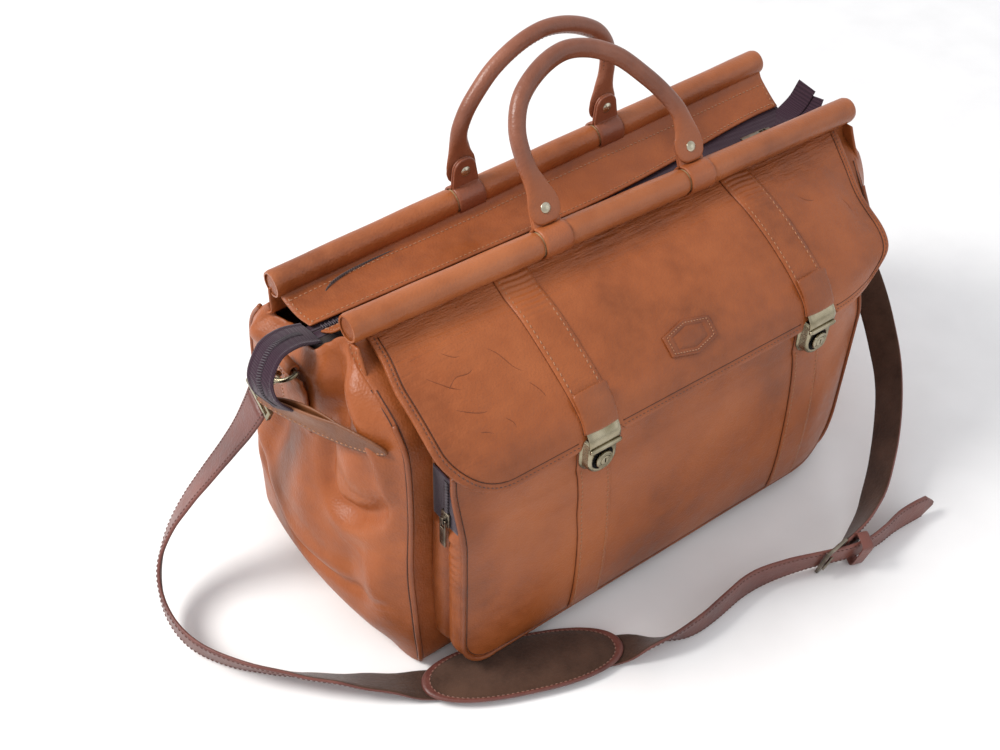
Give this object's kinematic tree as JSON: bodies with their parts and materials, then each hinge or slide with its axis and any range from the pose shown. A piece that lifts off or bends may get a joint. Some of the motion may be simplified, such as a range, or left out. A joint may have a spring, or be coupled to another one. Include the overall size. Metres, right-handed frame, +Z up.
{
  "type": "leather travel bag",
  "caption": "Bar-topped leather travel bag with two rolled swing handles, a zipped mouth, a locking front flap over a zipped pocket, and a buckled shoulder strap.",
  "frame": {"origin": "middle of the base face, on the surface that the bag stands on", "axes": "+X along the two bars to the bag's left as it is carried, -Y towards the flap and pocket, +Z up"},
  "size_m": [0.696, 0.3788, 0.4114],
  "materials": {
    "leather_tan": "full-grain tan leather, satin",
    "leather_handle": "rolled mauve-brown leather, worn satin",
    "leather_strap": "dark red-brown leather, satin",
    "suede": "brown suede, matte",
    "wood": "plain turned wood, matte",
    "zip_tape": "dark purple-brown zipper tape",
    "zip_teeth": "dark nylon coil",
    "zip_metal": "darkened brass",
    "antique_brass": "antique brass, satin with worn bright edges",
    "lining_cloth": "dark woven lining",
    "board": "stiff fibre board"
  },
  "bodies": {
    "bag": {"bar_caps": "leather_tan", "bar_stays": "leather_tan", "base_board": "board", "base_panel": "leather_tan", "body_piping": "leather_tan", "buckle_frame": "antique_brass", "flap_root": "leather_tan", "front_bar_wrap": "leather_tan", "front_dowel": "wood", "front_panel": "leather_tan", "front_valance": "leather_tan", "left_gusset": "leather_tan", "lining": "lining_cloth", "lock_cases": "antique_brass", "pocket_front": "leather_tan", "pocket_gusset": "leather_tan", "pocket_piping": "leather_tan", "pocket_strips": "leather_tan", "pocket_zip_tape": "zip_tape", "rear_bar_wrap": "leather_tan", "rear_dowel": "wood", "rear_panel": "leather_tan", "rear_valance": "leather_tan", "right_gusset": "leather_tan", "ring_chapes": "leather_tan", "shoulder_pad": "suede", "snap_hooks": "antique_brass", "strap_keeper": "leather_strap", "strap_long": "leather_strap", "strap_short": "leather_strap", "zipper_chain": "zip_teeth", "zipper_end_tab": "leather_tan", "zipper_tail": "zip_tape", "zipper_tape": "zip_tape"},
    "front_handle": {"front_handle_grip": "leather_handle", "front_handle_loops": "leather_handle", "front_handle_rivets": "antique_brass"},
    "rear_handle": {"rear_handle_grip": "leather_handle", "rear_handle_loops": "leather_handle", "rear_handle_rivets": "antique_brass"},
    "flap": {"flap": "leather_tan", "flap_strips": "leather_tan", "badge": "leather_tan", "hasp_tabs": "leather_tan", "hasp_plates": "antique_brass"},
    "lock_button_left": {"lock_button_left": "antique_brass"},
    "lock_button_right": {"lock_button_right": "antique_brass"},
    "key_left": {"key_cylinder_left": "antique_brass"},
    "key_right": {"key_cylinder_right": "antique_brass"},
    "latch_left": {"lock_latch_left": "antique_brass"},
    "latch_right": {"lock_latch_right": "antique_brass"},
    "zipper_slider": {"zipper_slider": "zip_metal"},
    "zipper_pull": {"zipper_pull": "zip_metal"},
    "pocket_zip_slider": {"pocket_zip_slider": "zip_metal"},
    "pocket_zip_pull": {"pocket_zip_pull": "zip_metal"},
    "d_ring_left": {"d_ring_left": "antique_brass"},
    "d_ring_right": {"d_ring_right": "antique_brass"},
    "snap_gate_left": {"snap_gate_left": "antique_brass"},
    "snap_gate_right": {"snap_gate_right": "antique_brass"},
    "buckle_prong": {"buckle_prong": "antique_brass"}
  },
  "joints": [
    {"name": "front_handle_swing", "type": "hinge", "parent": "bag", "child": "front_handle", "pos_m": [0, -0.042, 0.293], "axis": [-1, 0, 0], "range_deg": [-133, 10]},
    {"name": "rear_handle_swing", "type": "hinge", "parent": "bag", "child": "rear_handle", "pos_m": [0, 0.066, 0.276], "axis": [-0.9984, 0, -0.0558], "range_deg": [0, 125]},
    {"name": "flap_lift", "type": "hinge", "parent": "bag", "child": "flap", "pos_m": [0, -0.056, 0.2755], "axis": [-1, 0, 0], "range_deg": [0, 105]},
    {"name": "zipper_slide", "type": "slide", "parent": "bag", "child": "zipper_slider", "axis": [-1, 0, 0], "range_m": [0, 0.44]},
    {"name": "zipper_pull_swing", "type": "hinge", "parent": "zipper_slider", "child": "zipper_pull", "pos_m": [0.215, 0.01, 0.2591], "axis": [0, 1, 0], "range_deg": [0, 160]},
    {"name": "pocket_zip_slide", "type": "slide", "parent": "bag", "child": "pocket_zip_slider", "axis": [0, 0, 1], "range_m": [0, 0.015]},
    {"name": "pocket_zip_pull_swing", "type": "hinge", "parent": "pocket_zip_slider", "child": "pocket_zip_pull", "pos_m": [-0.235, -0.132, 0.1725], "axis": [0, 1, 0], "range_deg": [0, 150]},
    {"name": "d_ring_left_swing", "type": "hinge", "parent": "bag", "child": "d_ring_left", "pos_m": [-0.2732, 0.008, 0.239], "axis": [0, -1, 0], "range_deg": [0, 12]},
    {"name": "d_ring_right_swing", "type": "hinge", "parent": "bag", "child": "d_ring_right", "pos_m": [0.2732, 0.008, 0.239], "axis": [0, 1, 0], "range_deg": [0, 12]},
    {"name": "snap_gate_left_push", "type": "hinge", "parent": "bag", "child": "snap_gate_left", "pos_m": [-0.28013, 0.01159, 0.22354], "axis": [-0.0731, -0.9087, -0.4111], "range_deg": [0, 20], "stiffness_Nm_per_rad": 0.02},
    {"name": "snap_gate_right_push", "type": "hinge", "parent": "bag", "child": "snap_gate_right", "pos_m": [0.27974, 0.00525, 0.22354], "axis": [0.0405, 0.9474, -0.3174], "range_deg": [0, 20], "stiffness_Nm_per_rad": 0.02},
    {"name": "buckle_prong_swing", "type": "hinge", "parent": "bag", "child": "buckle_prong", "pos_m": [0.0944, -0.24394, 0.0209], "axis": [-0.103, -0.2625, 0.9594], "range_deg": [0, 80]},
    {"name": "lock_button_left_press", "type": "slide", "parent": "bag", "child": "lock_button_left", "axis": [0, 1, 0], "range_m": [0, 0.0022], "stiffness_N_per_m": 900},
    {"name": "key_left_turn", "type": "hinge", "parent": "lock_button_left", "child": "key_left", "pos_m": [-0.1135, -0.162, 0.186], "axis": [0, 1, 0], "range_deg": [0, 90]},
    {"name": "latch_left_drop", "type": "slide", "parent": "bag", "child": "latch_left", "axis": [0, 0, -1], "range_m": [0, 0.0014]},
    {"name": "lock_button_right_press", "type": "slide", "parent": "bag", "child": "lock_button_right", "axis": [0, 1, 0], "range_m": [0, 0.0022], "stiffness_N_per_m": 900},
    {"name": "key_right_turn", "type": "hinge", "parent": "lock_button_right", "child": "key_right", "pos_m": [0.1135, -0.162, 0.186], "axis": [0, 1, 0], "range_deg": [0, 90]},
    {"name": "latch_right_drop", "type": "slide", "parent": "bag", "child": "latch_right", "axis": [0, 0, -1], "range_m": [0, 0.0014]}
  ],
  "couplings": [
    {"joint": "latch_left_drop", "follows": "lock_button_left_press", "ratio": 0.6},
    {"joint": "latch_right_drop", "follows": "lock_button_right_press", "ratio": 0.6}
  ]
}
